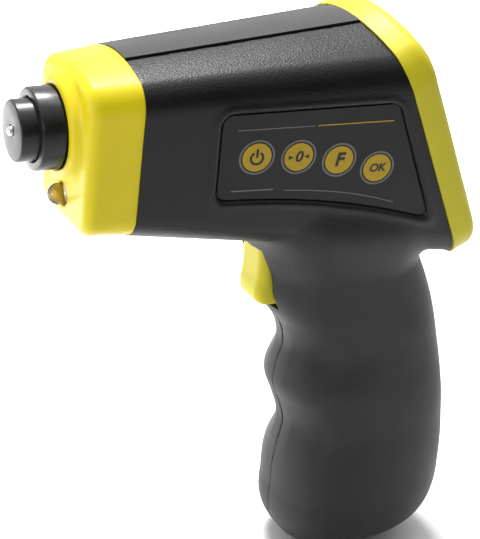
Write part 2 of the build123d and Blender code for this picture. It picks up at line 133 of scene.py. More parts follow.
def smooth_rows(z, rows):
    """Smooth columns of a table at heights z, by a cubic through its rows."""
    table = rows[::-1]
    heights = table[:, 0]
    slot = np.clip(np.searchsorted(heights, z) - 1, 0, len(heights) - 2)
    span = heights[slot + 1] - heights[slot]
    t = np.clip((z - heights[slot]) / span, 0, 1)
    slopes = np.gradient(table[:, 1:], heights, axis=0)
    out = []
    for column in range(table.shape[1] - 1):
        values = table[:, column + 1]
        a, b = values[slot], values[slot + 1]
        da, db = slopes[slot, column] * span, slopes[slot + 1, column] * span
        out.append(a * (2 * t**3 - 3 * t**2 + 1) + da * (t**3 - 2 * t**2 + t)
                   + b * (3 * t**2 - 2 * t**3) + db * (t**3 - t**2))
    return out


def grip_field(x, y, z):
    """The grip: level slices that are squarish ovals, closed by a rounded foot."""
    front, back, half = smooth_rows(np.clip(z, -109.0, -22.0), GRIP_SLICES)
    reach = (back - front) / 2
    u = np.abs(x - (front + back) / 2) / reach
    v = np.abs(y) / half
    n = GRIP_SQUARENESS
    s = np.maximum((u**n + v**n) ** (1 / n), 1e-3)
    steep = np.hypot((u / s) ** (n - 1) / reach, (v / s) ** (n - 1) / half)
    body = (s - 1) / steep
    body = body + hollows(x, y, z)
    foot = foot_height(x) - z
    return meet(meet(body, foot * 0.97, 13.0), z + 26.0, 4.0)


HOLLOWS = ((72.5, -65.0, 7.5, 5.2, 2.1), (73.0, -88.5, 7.5, 5.6, 2.0), (63.0, -43.5, 5.5, 4.5, 1.5))


def hollows(x, y, z):
    """Shallow finger hollows on both sides: middle, half length, half height and depth."""
    total = 0.0
    for at_x, at_z, long, tall, deep in HOLLOWS:
        total = total + deep * np.exp(-((x - at_x) / long) ** 2 - ((z - at_z) / tall) ** 2)
    return total * np.clip((np.abs(y) - 4.0) / 8.0, 0.0, 1.0)


def foot_height(x):
    """The grip's underside, which rises towards the back."""
    return -123.4 + 0.0022 * (x - 88.0) ** 2 + 0.08 * (x - 88.0)


def flare(x):
    """The fillet radius between grip and head: broad in front, tight at the back."""
    return np.interp(x, (54, 68, 90, 102), (2.5, 12.0, 8.0, 3.0))


def outer_field(x, y, z):
    """The housing's outer form."""
    return join(head_field(x, y, z), grip_field(x, y, z), flare(x))


# ---------------------------------------------------------------- the side panels' coordinates
def panel_axes(side):
    """Origin, along, up and outward directions of a panel's film seat."""
    along = np.array((1, side * TAPER, 0))
    along = along / np.linalg.norm(along)
    out = np.array((-TAPER, side, -DRAFT))
    out = out / np.linalg.norm(out)
    up = np.cross(out, along)
    return np.array((SIDE_X, side * (SIDE - RECESS), 0.0)), along, up, out


def panel_coords(x, y, z, side):
    """Points of the row frame as along, up and outward distances on a panel."""
    origin, along, up, out = panel_axes(side)
    p = (x - origin[0], y - origin[1], z - origin[2])
    return [p[0] * d[0] + p[1] * d[1] + p[2] * d[2] for d in (along, up, out)]


def edge_line(u, v, a, b):
    """Distance beyond the line from a to b, for points on its right."""
    dx, dy = b[0] - a[0], b[1] - a[1]
    return ((u - a[0]) * dy - (v - a[1]) * dx) / math.hypot(dx, dy)


def circle_through(a, b, c):
    """Centre and radius of the circle through three points."""
    m = np.array(((b[0] - a[0], b[1] - a[1]), (c[0] - a[0], c[1] - a[1])))
    k = np.array((b[0]**2 + b[1]**2 - a[0]**2 - a[1]**2, c[0]**2 + c[1]**2 - a[0]**2 - a[1]**2))
    centre = np.linalg.solve(2 * m, k)
    return centre, math.hypot(a[0] - centre[0], a[1] - centre[1])


def panel_field(u, v, up):
    """Distance outside the film's outline; up is 1 or -1, by the panel's own v direction."""
    v = v * up
    high_front, high_rear, low_rear, low_front = PANEL_CORNERS
    top = edge_line(u, v, high_rear, high_front)
    rear = edge_line(u, v, low_rear, high_rear)
    front = edge_line(u, v, high_front, low_front)
    centre, radius = circle_through(low_front, PANEL_SAG, low_rear)
    low = radius - np.hypot(u - centre[0], v - centre[1])
    return meet(meet(front, top, 2.6), meet(rear, low, 2.2), 2.4)


# ---------------------------------------------------------------- meshes from distance fields
def slope(field, p):
    """The field's unit gradient and value at scattered points."""
    h = 0.02
    grad = np.empty_like(p)
    for axis in range(3):
        step = np.zeros(3)
        step[axis] = h
        ahead, behind = p + step, p - step
        grad[:, axis] = (field(*ahead.T) - field(*behind.T)) / (2 * h)
    size = np.maximum(np.linalg.norm(grad, axis=1, keepdims=True), 1e-6)
    return grad / size, field(*p.T) / size[:, 0]


def crossings(values, low, cell, axis):
    """Grid edges along one axis that the surface crosses: their cells' index and the points."""
    first = np.take(values, range(values.shape[axis] - 1), axis)
    second = np.take(values, range(1, values.shape[axis]), axis)
    hit = (first < 0) != (second < 0)
    index = np.argwhere(hit)
    a, b = first[hit], second[hit]
    point = index.astype(float)
    point[:, axis] += a / (a - b)
    return index, low + cell * point, a < 0


def dual_contour(field, low, high, cell):
    """Vertices and quads of a field's zero surface, with its sharp edges kept."""
    low, high = np.array(low, float), np.array(high, float)
    counts = np.ceil((high - low) / cell).astype(int) + 1
    grid = [low[i] + cell * np.arange(counts[i]) for i in range(3)]
    values = field(grid[0][:, None, None], grid[1][None, :, None], grid[2][None, None, :])
    values = np.broadcast_to(values, counts)
    quads, cells, points, normals = [], [], [], []
    for axis in range(3):
        index, point, outward = crossings(values, low, cell, axis)
        normal, excess = slope(field, point)
        point = point - normal * np.clip(excess, -cell, cell)[:, None]
        others = [(axis + 1) % 3, (axis + 2) % 3]
        ring = []
        for du, dv in ((0, 0), (1, 0), (1, 1), (0, 1)):
            corner = index.copy()
            corner[:, others[0]] -= du
            corner[:, others[1]] -= dv
            ring.append(np.ravel_multi_index(np.maximum(corner, 0).T, counts))
        ring = np.stack(ring, 1)
        ring[~outward] = ring[~outward][:, ::-1]
        quads.append(ring[:, ::-1])
        cells.append(ring.ravel())
        points.append(np.repeat(point, 4, 0))
        normals.append(np.repeat(normal, 4, 0))
    quads = np.concatenate(quads)
    used, where = np.unique(np.concatenate(cells), return_inverse=True)
    spots = solve_cells(np.concatenate(points), np.concatenate(normals), where, len(used), cell)
    return spots, np.searchsorted(used, quads)


def solve_cells(points, normals, where, count, cell):
    """One vertex per cell: the point nearest to all the tangent planes that cross the cell."""
    share = np.bincount(where, minlength=count)
    mean = np.stack([np.bincount(where, points[:, i], count) for i in range(3)], 1) / share[:, None]
    offset = np.einsum("ij,ij->i", normals, points - mean[where])
    right = np.stack([np.bincount(where, normals[:, i] * offset, count) for i in range(3)], 1)
    left = np.zeros((count, 3, 3))
    for i in range(3):
        for j in range(3):
            left[:, i, j] = np.bincount(where, normals[:, i] * normals[:, j], count)
        left[:, i, i] += 0.06 * share
    move = np.linalg.solve(left, right[:, :, None])[:, :, 0]
    reach = np.linalg.norm(move, axis=1, keepdims=True)
    return mean + move * np.minimum(1, cell / np.maximum(reach, 1e-9))


def mesh_piece(name, points, faces, body, material, smooth=40):
    """A Blender object from millimetre points, riding on a body."""
    mesh = bpy.data.meshes.new(name)
    mesh.from_pydata((np.asarray(points) * MM).tolist(), [], [list(map(int, f)) for f in faces])
    mesh.validate()
    mesh.polygons.foreach_set("use_smooth", [True] * len(mesh.polygons))
    mesh.set_sharp_from_angle(angle=math.radians(smooth))
    mesh.materials.append(material)
    piece = bpy.data.objects.new(name, mesh)
    bpy.context.scene.collection.objects.link(piece)
    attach(piece, body)
    return piece


def contour_piece(name, field, low, high, cell, body, material, smooth=40):
    """A piece whose surface is a field's zero surface."""
    points, faces = dual_contour(field, low, high, cell)
    return mesh_piece(name, points, faces, body, material, smooth)


# ---------------------------------------------------------------- lathes and flat graphics
def lathe(name, profile, body, material, y=0.0, z=0.0, steps=96):
    """A solid of revolution about a line along X, from (x, radius) pairs."""
    points, faces = [], []
    for x, radius in profile:
        for step in range(steps):
            angle = 2 * math.pi * step / steps
            points.append((x, y + radius * math.cos(angle), z + radius * math.sin(angle)))
    for ring in range(len(profile) - 1):
        for step in range(steps):
            here, there = ring * steps, (ring + 1) * steps
            after = (step + 1) % steps
            faces.append((here + step, there + step, there + after, here + after))
    piece = mesh_piece(name, points, faces, body, material, 30)
    clean = bmesh.new()
    clean.from_mesh(piece.data)
    bmesh.ops.remove_doubles(clean, verts=clean.verts, dist=1e-7)
    bmesh.ops.recalc_face_normals(clean, faces=clean.faces)
    clean.to_mesh(piece.data)
    clean.free()
    return piece


def on_panel(side, u, v, w):
    """A panel point in the row frame, in millimetres."""
    origin, along, up, out = panel_axes(side)
    return origin + along * u + up * v + out * w


def panel_matrix(side, u, v, w):
    """A transform that lays the XY plane on a side panel, text upright."""
    _, along, up, out = panel_axes(side)
    place = on_panel(side, u, v, w) * MM
    axes = Matrix([along, up, out]).transposed().to_4x4()
    return Matrix.Translation(Vector(place)) @ axes


def plate(name, outlines, side, w, body, material, thickness=0.05):
    """Thin flat graphics on a side panel: quads and polygons in panel coordinates."""
    points, faces = [], []
    for outline in outlines:
        start = len(points)
        for level in (w, w + thickness):
            points.extend(on_panel(side, u, v, level) for u, v in outline)
        n = len(outline)
        faces.append(tuple(start + i for i in reversed(range(n))))
        faces.append(tuple(start + n + i for i in range(n)))
        for i in range(n):
            j = (i + 1) % n
            faces.append((start + i, start + j, start + n + j, start + n + i))
    return mesh_piece(name, points, faces, body, material, 30)


def ring_outlines(u, v, inner, outer, steps=48, start=0.0, sweep=360.0):
    """An annulus or arc of quads."""
    quads = []
    for step in range(steps):
        a = math.radians(start + sweep * step / steps)
        b = math.radians(start + sweep * (step + 1) / steps)
        quads.append(((u + inner * math.cos(a), v + inner * math.sin(a)),
                      (u + outer * math.cos(a), v + outer * math.sin(a)),
                      (u + outer * math.cos(b), v + outer * math.sin(b)),
                      (u + inner * math.cos(b), v + inner * math.sin(b))))
    return quads


def line_outlines(points, width):
    """A polyline as quads of one width."""
    quads = []
    for (u0, v0), (u1, v1) in zip(points, points[1:]):
        length = math.hypot(u1 - u0, v1 - v0)
        nu, nv = -(v1 - v0) / length * width / 2, (u1 - u0) / length * width / 2
        quads.append(((u0 - nu, v0 - nv), (u1 - nu, v1 - nv), (u1 + nu, v1 + nv), (u0 + nu, v0 + nv)))
    return quads


# ---------------------------------------------------------------- materials
def new_material(name):
    """An empty node material, with its nodes, links and shader."""
    material = bpy.data.materials.new(name)
    material.use_nodes = True
    nodes, links = material.node_tree.nodes, material.node_tree.links
    return material, nodes, links, nodes["Principled BSDF"]


def noise(nodes, links, scale, detail=3.0, rough=0.5):
    """A noise texture in object space; scale is in features per metre."""
    coords = nodes.new("ShaderNodeTexCoord")
    texture = nodes.new("ShaderNodeTexNoise")
    texture.inputs["Scale"].default_value = scale
    texture.inputs["Detail"].default_value = detail
    texture.inputs["Roughness"].default_value = rough
    links.new(coords.outputs["Object"], texture.inputs["Vector"])
    return texture.outputs["Fac"]


def ramp(nodes, links, source, low, high, at=(0.3, 0.7)):
    """Maps a value to a range between two places."""
    node = nodes.new("ShaderNodeMapRange")
    node.inputs["From Min"].default_value = at[0]
    node.inputs["From Max"].default_value = at[1]
    node.inputs["To Min"].default_value = low
    node.inputs["To Max"].default_value = high
    links.new(source, node.inputs["Value"])
    return node.outputs["Result"]


def mix_colours(nodes, links, factor, a, b):
    """Blends two colours by a factor."""
    node = nodes.new("ShaderNodeMix")
    node.data_type = "RGBA"
    node.inputs["A"].default_value = (*a, 1)
    node.inputs["B"].default_value = (*b, 1)
    links.new(factor, node.inputs["Factor"])
    return node.outputs["Result"]


def bumps(nodes, links, height, distance_m, strength, below=None):
    """Surface relief from a height, over any relief below it."""
    node = nodes.new("ShaderNodeBump")
    node.inputs["Distance"].default_value = distance_m
    node.inputs["Strength"].default_value = strength
    links.new(height, node.inputs["Height"])
    if below is not None:
        links.new(below, node.inputs["Normal"])
    return node.outputs["Normal"]


def plastic(name, dark, light, rough, grain_mm, depth_mm, ior=1.46, coat=0.0, metallic=0.0):
    """Moulded or machined surface: two-tone mottling, fine grain, uneven gloss."""
    material, nodes, links, shader = new_material(name)
    grain = noise(nodes, links, 1000 / grain_mm, 4.0, 0.55)
    cloud = noise(nodes, links, 60.0, 3.0)
    links.new(mix_colours(nodes, links, cloud, dark, light), shader.inputs["Base Color"])
    links.new(ramp(nodes, links, cloud, rough[0], rough[1]), shader.inputs["Roughness"])
    links.new(bumps(nodes, links, grain, depth_mm * MM, 1.0), shader.inputs["Normal"])
    shader.inputs["IOR"].default_value = ior
    shader.inputs["Metallic"].default_value = metallic
    shader.inputs["Coat Weight"].default_value = coat
    shader.inputs["Coat Roughness"].default_value = 0.25
    return material


def clear(name, tint, rough):
    """Clear moulded plastic or epoxy."""
    material, nodes, links, shader = new_material(name)
    haze = noise(nodes, links, 400.0, 2.0)
    links.new(mix_colours(nodes, links, haze, tint, [c * 0.92 for c in tint]), shader.inputs["Base Color"])
    links.new(ramp(nodes, links, haze, rough, rough + 0.06), shader.inputs["Roughness"])
    shader.inputs["Transmission Weight"].default_value = 1.0
    shader.inputs["IOR"].default_value = 1.5
    return material


GRIP_BLEND_M = (-0.034, -0.016)  # heights between which the head's finish turns into the grip's


def housing_material():
    """Glossier pebble grain on the head, softer grey grain on the grip."""
    material, nodes, links, shader = new_material("housing_black")
    coords = nodes.new("ShaderNodeTexCoord")
    parts = nodes.new("ShaderNodeSeparateXYZ")
    links.new(coords.outputs["Object"], parts.inputs["Vector"])
    low = ramp(nodes, links, parts.outputs["Z"], 1.0, 0.0, GRIP_BLEND_M)
    cloud = noise(nodes, links, 60.0, 3.0)
    tint = nodes.new("ShaderNodeMix")
    tint.data_type = "RGBA"
    head = mix_colours(nodes, links, cloud, (0.003, 0.003, 0.004), (0.006, 0.006, 0.007))
    grip = mix_colours(nodes, links, cloud, (0.018, 0.018, 0.019), (0.025, 0.025, 0.026))
    links.new(head, tint.inputs["A"])
    links.new(grip, tint.inputs["B"])
    links.new(low, tint.inputs["Factor"])
    links.new(tint.outputs["Result"], shader.inputs["Base Color"])
    gloss = nodes.new("ShaderNodeMix")
    links.new(low, gloss.inputs["Factor"])
    links.new(ramp(nodes, links, cloud, 0.3, 0.4), gloss.inputs["A"])
    links.new(ramp(nodes, links, cloud, 0.5, 0.6), gloss.inputs["B"])
    links.new(gloss.outputs["Result"], shader.inputs["Roughness"])
    coarse = noise(nodes, links, 1900.0, 3.0, 0.5)
    fine = noise(nodes, links, 5200.0, 3.0, 0.6)
    first = bumps(nodes, links, coarse, 0.0001, 0.9)
    links.new(bumps(nodes, links, fine, 0.00003, 0.5, first), shader.inputs["Normal"])
    shader.inputs["IOR"].default_value = 1.42
    return material


HOUSING = housing_material()
HEAD_BLACK = plastic("head_black", (0.008, 0.008, 0.009), (0.014, 0.014, 0.016),
                     (0.28, 0.4), 0.55, 0.05, 1.5)
YELLOW = plastic("yellow_gloss", (0.74, 0.6, 0.004), (0.8, 0.66, 0.006), (0.3, 0.4), 0.5, 0.006, 1.42)
YELLOW_MATT = plastic("yellow_matt", (0.6, 0.53, 0.012), (0.66, 0.58, 0.018),
                      (0.38, 0.5), 0.45, 0.02, 1.42)
KEY_YELLOW = plastic("key_yellow", (0.44, 0.29, 0.006), (0.5, 0.33, 0.01), (0.38, 0.5), 0.4, 0.01, 1.42)
FILM = plastic("panel_film", (0.007, 0.007, 0.008), (0.01, 0.01, 0.011), (0.42, 0.52), 0.3, 0.008, 1.42)
INK_GREY = plastic("ink_grey", (0.13, 0.13, 0.14), (0.17, 0.17, 0.18), (0.4, 0.5), 0.3, 0.004)
INK_BLACK = plastic("ink_black", (0.01, 0.01, 0.01), (0.016, 0.014, 0.012), (0.4, 0.5), 0.3, 0.004)
ANODISED = plastic("black_anodised", (0.005, 0.005, 0.006), (0.009, 0.009, 0.01),
                   (0.22, 0.32), 0.35, 0.004, 1.5)
TIP_GREY = plastic("tip_satin", (0.1, 0.1, 0.105), (0.15, 0.15, 0.155),
                   (0.35, 0.5), 0.3, 0.01, 1.5, 0.0, 0.6)
STEEL = plastic("bright_steel", (0.6, 0.6, 0.61), (0.7, 0.7, 0.71),
                (0.15, 0.3), 0.3, 0.003, 1.5, 0.0, 1.0)
ZINC = plastic("zinc_steel", (0.5, 0.5, 0.52), (0.62, 0.62, 0.64),
               (0.28, 0.42), 0.3, 0.006, 1.5, 0.0, 1.0)
WHITE = plastic("white_moulding", (0.7, 0.7, 0.68), (0.78, 0.78, 0.76), (0.4, 0.5), 0.5, 0.01)
BOARD = plastic("solder_mask", (0.01, 0.09, 0.03), (0.015, 0.13, 0.045), (0.25, 0.35), 0.5, 0.01)
BLACK = plastic("black_moulding", (0.012, 0.012, 0.012), (0.02, 0.02, 0.02), (0.4, 0.5), 0.5, 0.01)
COPPER = plastic("copper_winding", (0.42, 0.14, 0.04), (0.55, 0.22, 0.08),
                 (0.25, 0.4), 0.25, 0.02, 1.5, 0.2, 0.8)
LEAD = plastic("lead_insulation", (0.35, 0.02, 0.015), (0.45, 0.03, 0.02), (0.4, 0.5), 0.5, 0.01)
CELL_CASE = plastic("battery_sleeve", (0.12, 0.125, 0.13), (0.17, 0.175, 0.18),
                    (0.25, 0.4), 0.6, 0.006, 1.5, 0.2)
LCD = plastic("display_glass", (0.3, 0.34, 0.27), (0.34, 0.38, 0.3), (0.1, 0.2), 0.5, 0.002)
WINDOW = clear("clear_window", (0.93, 0.96, 0.95), 0.02)
LENS = clear("lamp_epoxy", (0.95, 0.8, 0.55), 0.05)

CAD_LOOKS = {
    HEAD_BLACK: ("top_spine",),
    KEY_YELLOW: tuple(KEY_PLACES),
    FILM: ("keypad_overlay", "side_label"),
    STEEL: ("trigger_pin", "trigger_spring", "probe_spring", "probe_clip", "snap_domes", "probe_core"),
    ZINC: ("board_screws", "housing_screws"),
    WHITE: ("backlight_frame",),
    BOARD: ("main_board", "keypad_board"),
    BLACK: ("buzzer", "trigger_switch", "battery_snap"),
    COPPER: ("probe_coil",),
    LEAD: ("probe_lead", "lamp_lead", "battery_leads"),
    CELL_CASE: ("battery",),
    LCD: ("display_glass",),
    WINDOW: ("display_window",),
}


def dress_cad_nodes():
    """Gives each kept CAD node its material and smooth shading."""
    for material, names in CAD_LOOKS.items():
        for name in names:
            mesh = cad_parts[name].data
            mesh.materials.clear()
            mesh.materials.append(material)
            mesh.polygons.foreach_set("use_smooth", [True] * len(mesh.polygons))
            mesh.set_sharp_from_angle(angle=math.radians(30))


# ---------------------------------------------------------------- housing
BOSSES = ((33.0, -20.0), (58.0, 11.5), (99.5, -50.5), (74.8, -110.5))
SCREW_SEAT = 8.0
BOSS_R, WELL_R, SCREW_HOLE_R = 3.6, 3.0, 1.6
COVER_INSIDE = 9.5            # the cover's prism starts this far from the middle plane
COVER_GAP = 0.3
SLOT_X, SLOT_Z = (40, 67), (-51.2, -34.6)
SLOT_HALF = TRIGGER_HALF + 0.5
KEY_WINDOW_U, KEY_WINDOW_V = (-13.8, 27.2), (-14.9, -0.3)
RIB_COUNT, RIB_TOP, RIB_PITCH, RIB_R = 6, -72.0, 1.7, 0.45
DOOR_MIDDLE, DOOR_HALF = (92.5, -89.0), (14.5, 25.0)


def slab(value, low, high):
    """Distance outside a range."""
    return np.maximum(low - value, value - high)


def groove_half(x):
    """How far a groove of the top strip lies from the middle."""
    return GROOVE_FRONT + (GROOVE_REAR - GROOVE_FRONT) * (x - 15.0) / 80.0


def seam_gap(z):
    """Half the parting line's gap: it opens a little in the finger hollows."""
    return 0.1 + 0.26 * np.exp(-((z + 59.0) / 4.0) ** 2) + 0.3 * np.exp(-((z + 84.0) / 4.5) ** 2)


def wall_field(x, y, z):
    """The moulded wall, open at the nose and the rear."""
    outer = outer_field(x, y, z)
    wall = cut(outer, outer + WALL, 0.1)
    wall = meet(wall, NOSE_X - x, 0.25)
    rear = (x - REAR_X - REAR_LEAN * z) / math.hypot(1, REAR_LEAN)
    return meet(wall, rear, 0.25)


def door_region(x, y, z, grow):
    """The battery cover's prism through the right wall."""
    across = np.abs(x - DOOR_MIDDLE[0]) - DOOR_HALF[0] - grow
    upright = np.abs(z - DOOR_MIDDLE[1]) - DOOR_HALF[1] - grow
    return np.maximum(meet(across, upright, 3.0), COVER_INSIDE - y)


def shell_field(x, y, z, side):
    """One half of the housing."""
    f = wall_field(x, y, z)
    f = cut(f, np.maximum(np.abs(y) - groove_half(x) - GROOVE_W, 5.0 - z), 0.2)
    slot = np.maximum(slab(x, *SLOT_X), np.maximum(np.abs(y) - SLOT_HALF, slab(z, *SLOT_Z)))
    f = cut(f, slot, 0.5)
    u, v, w = panel_coords(x, y, z, side)
    outline = panel_field(u, v, -side)
    f = f - 0.35 * np.exp(-((outline - 1.4) / 0.9) ** 2) * (w > -0.5)
    f = cut(f, np.maximum(outline - 0.3, -w), 0.9)
    if side < 0:
        window = np.maximum(slab(u, *KEY_WINDOW_U), slab(v, *KEY_WINDOW_V))
        f = np.maximum(f, -np.maximum(window, w - 2.0))
    else:
        f = right_features(f, x, y, z)
    return meet(f, -side * y + seam_gap(z), 0.3)


def right_features(f, x, y, z):
    """Screw wells and the opening of the battery cover."""
    outer = outer_field(x, y, z)
    for at_x, at_z in BOSSES:
        away = np.hypot(x - at_x, z - at_z)
        f = np.minimum(f, np.maximum(np.maximum(away - BOSS_R, y - SCREW_SEAT), outer + 0.5))
        f = cut(f, np.maximum(away - WELL_R, SCREW_SEAT - y), 0.3)
        f = np.maximum(f, SCREW_HOLE_R - away)
    return cut(f, door_region(x, y, z, COVER_GAP), 0.25)


def surface_y(z):
    """Where the cover's outer face lies, at the middle of its length."""
    return smooth_rows(np.clip(z, -118.0, -22.0), GRIP_SLICES)[2] * 0.995


def door_field(x, y, z):
    """The pull-off battery cover: a patch of the wall with finger ribs and a steadying rib."""
    outer = outer_field(x, y, z)
    f = meet(cut(outer, outer + WALL, 0.1), door_region(x, y, z, 0.0), 0.25)
    steady = np.maximum(slab(x, 82, 103), np.maximum(slab(y, 10.5, 17.5), slab(z, -69.0, -67.4)))
    f = np.minimum(f, np.maximum(steady, outer))
    for row in range(RIB_COUNT):
        rib = np.hypot(y - surface_y(z), z - RIB_TOP + RIB_PITCH * row) - RIB_R
        f = cut(f, np.maximum(rib, slab(x, 85.0, 100.0)), 0.12)
    return f


def build_housing():
    """Both shells and the battery cover."""
    cell = 0.55
    for side, name in ((-1, "left_shell"), (1, "right_shell")):
        ys = (-27.0, 1.0) if side < 0 else (-1.0, 27.0)
        piece = contour_piece(name + "_skin", lambda x, y, z, s=side: shell_field(x, y, z, s),
                              (18.9, ys[0], -126.5), (117.5, ys[1], 23.5), cell, "housing",
                              HOUSING)
        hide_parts(name)
    door = contour_piece("battery_door_skin", door_field, (77, 9, -119), (108, 21, -63), cell * 0.8,
                         "battery_door", HOUSING)
    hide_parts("battery_door")


# ---------------------------------------------------------------- trigger
# The line of the trigger's front: height, front.
TRIGGER_FRONT = np.array((
    (-34.0, 57.2),
    (-39.0, 57.4),
    (-43.0, 57.3),
    (-46.6, 56.9),
    (-49.0, 57.5),
    (-50.4, 58.8),
    (-51.4, 61.0),
))
TRIGGER_BOTTOM, TRIGGER_TOP = -50.6, -34.9
TRIGGER_BACK, TRIGGER_BACK_Z, TRIGGER_LEAN = 66.4, -38.0, 0.1667
EYE_R, PIN_HOLE_R = 3.0, 1.3


def trigger_field(x, y, z):
    """The trigger: a blade with a rounded front, and an eye for its pin."""
    front = (smooth_rows(np.clip(z, -51.2, -34.2), TRIGGER_FRONT)[0] - x) * 0.9
    back = x - TRIGGER_BACK - TRIGGER_LEAN * (z - TRIGGER_BACK_Z)
    blade = meet(meet(front, TRIGGER_BOTTOM - z, 1.6), back, 0.5)
    blade = np.maximum(blade, z - TRIGGER_TOP)
    blade = meet(blade, np.abs(y) - TRIGGER_HALF, 2.4)
    pin_x, pin_z = TRIGGER_PIN
    away = np.hypot(x - pin_x, z - pin_z)
    arm = np.maximum(np.abs(x - pin_x) - EYE_R, slab(z, -40.0, pin_z))
    eye = np.maximum(np.minimum(arm, away - EYE_R), np.abs(y) - TRIGGER_HALF)
    return np.maximum(np.minimum(blade, eye), PIN_HOLE_R - away)


def build_trigger():
    """The trigger's mesh, in place of the CAD one."""
    cell = 0.35
    trigger = contour_piece("trigger_skin", trigger_field, (55.0, -6.6, -52.0), (69.6, 6.6, -28.0), cell,
                            "trigger", YELLOW_MATT)
    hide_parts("trigger")


# ---------------------------------------------------------------- nose
FACE_X = 8.0
RING_X, RING_R = 5.6, 12.4


def nose_field(x, y, z):
    """The cap: a tapering block, a raised ring, the probe's bore and the lamp's hole."""
    t = (x - FACE_X) / (NOSE_X - FACE_X)
    side = np.abs(y) - (15.6 + 1.25 * t + (0.052 + 0.06 * t) * z)
    top = 14.7 + 1.5 * t
    crown = np.hypot(y, z - top + CROWN) - CROWN
    bottom = -22.6 - 1.1 * t - z
    body = meet(meet(side, crown, 4.6), bottom, 5.5)
    body = meet(body, FACE_X - x, 2.6)
    axis = np.hypot(y, z)
    ring = meet(axis - RING_R, RING_X - x, 2.2)
    ring = np.maximum(ring, x - 12.0)
    body = join(body, ring, 1.6)
    body = np.maximum(body, x - NOSE_X - 0.02)
    hollow = np.maximum(meet(meet(side, crown, 4.6), bottom, 5.5) + 2.4, FACE_X + 2.4 - x)
    body = np.maximum(body, -hollow)
    body = cut(body, axis - 9.5, 0.45)
    return cut(body, np.hypot(y, z - LAMP_Z) - LAMP_R - 0.4, 0.5)


def build_nose():
    """The nose cap and the lamp with its chip."""
    cell = 0.45
    nose = contour_piece("nose_cap_skin", nose_field, (4.8, -18.5, -25), (20.6, 18.5, 17.5), cell,
                         "housing", YELLOW)
    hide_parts("nose_cap")
    lamp = lathe("lamp_lens", [(LAMP_X + 6.0, 0), (LAMP_X + 6.0, 2.9), (LAMP_X + 5.0, 2.9),
                               (LAMP_X + 4.95, 2.5)]
                 + [(LAMP_X - 2.5 * math.sin(math.radians(a)), 2.5 * math.cos(math.radians(a)))
                    for a in range(0, 91, 6)], "housing", LENS, 0, LAMP_Z, 48)
    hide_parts("lamp")
    lathe("lamp_chip", [(LAMP_X + 4.5, 0), (LAMP_X + 4.5, 1.7), (LAMP_X + 1.6, 1.3), (LAMP_X + 1.4, 0.9),
                        (LAMP_X + 2.2, 0)], "housing", ZINC, 0, LAMP_Z, 24)


# ---------------------------------------------------------------- rear bezel
BEZEL_T = 7.5


def bezel_field(x, y, z):
    """The rear frame: the head's outline carried back, with a window."""
    length = math.hypot(1, REAR_LEAN)
    w = (x - REAR_X - REAR_LEAN * z) / length
    up = (z - REAR_LEAN * (x - REAR_X)) / length
    at_x, at_z = x - w / length, z + w * REAR_LEAN / length
    outline = head_field(at_x, y, at_z, 0.4)
    body = meet(outline, w - BEZEL_T, 3.2)
    body = np.maximum(body, -w)
    body = np.maximum(body, -np.maximum(head_field(at_x, y, at_z) + 3.9, w - BEZEL_T + 1.9))
    window = meet(np.abs(y) - 15.5, np.abs(up - 1.0) - 12.5, 2.5)
    body = cut(body, window, 0.5)
    seat = meet(np.abs(y) - 17.5, np.abs(up - 1.0) - 14.5, 4.0)
    return cut(body, np.maximum(seat, BEZEL_T - 1.1 - w), 0.2)


def build_bezel():
    """The rear bezel."""
    cell = 0.5
    bezel = contour_piece("rear_bezel_skin", bezel_field, (75.5, -26, -41.5), (116, 26, 27), cell,
                          "housing", YELLOW_MATT)
    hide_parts("rear_bezel")


# ---------------------------------------------------------------- probe
def build_probe():
    """The turned collar, plunger and ball."""
    collar_profile = [(27, 8.2), (27, 8.9), (12.8, 8.9), (12.8, 11.4), (11.0, 11.4), (11.0, 8.9), (5.2, 8.9),
                      (5.2, 9.4), (0.55, 9.4), (0.12, 9.2), (0.0, 8.9), (0.0, 7.55), (0.25, 7.3),
                      (7.9, 7.3), (7.9, 8.2), (27, 8.2)]
    collar = lathe("collar_turned", collar_profile, "housing", ANODISED)
    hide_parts("probe_collar")
    sleeve = lathe("plunger_turned", [(20, 5.4), (20, 7.0), (10.3, 7.0), (10.3, 8.1), (8.3, 8.1), (8.3, 7.0),
                                      (-3.6, 7.0), (-3.9, 6.85), (-4.02, 6.6), (-4.04, 6.4)],
                   "probe", ANODISED)
    face = lathe("plunger_face", [(-4.04, 6.4), (-4.08, 6.3), (-4.1, 3.0), (-4.05, 1.6), (-3.7, 1.5),
                                  (-1.6, 1.5), (-1.6, 5.4), (20, 5.4)], "probe", TIP_GREY)
    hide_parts("probe_plunger")
    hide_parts("probe_plunger")
    ball = lathe("ball_polished", [(-3.94 - 1.2 * math.cos(math.radians(a)), 1.2 * math.sin(math.radians(a)))
                                   for a in range(0, 181, 6)], "probe", STEEL, steps=48)
    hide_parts("contact_ball")


# ---------------------------------------------------------------- keypad graphics
FILM_TOP = 0.52
KEY_TOP = 0.6


def legend_text(name, text, key, size, bold):
    """A short printed legend on a key."""
    curve = bpy.data.curves.new(name, "FONT")
    curve.body = text
    curve.size = size * MM
    curve.align_x = "CENTER"
    curve.align_y = "CENTER"
    curve.extrude = 0.02 * MM
    curve.offset = bold * MM
    curve.shear = 0.15
    curve.materials.append(INK_BLACK)
    piece = bpy.data.objects.new(name, curve)
    bpy.context.scene.collection.objects.link(piece)
    u, v = KEY_PLACES[key]
    piece.matrix_world = panel_matrix(-1, u, v, KEY_TOP + 0.02)
    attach(piece, key)


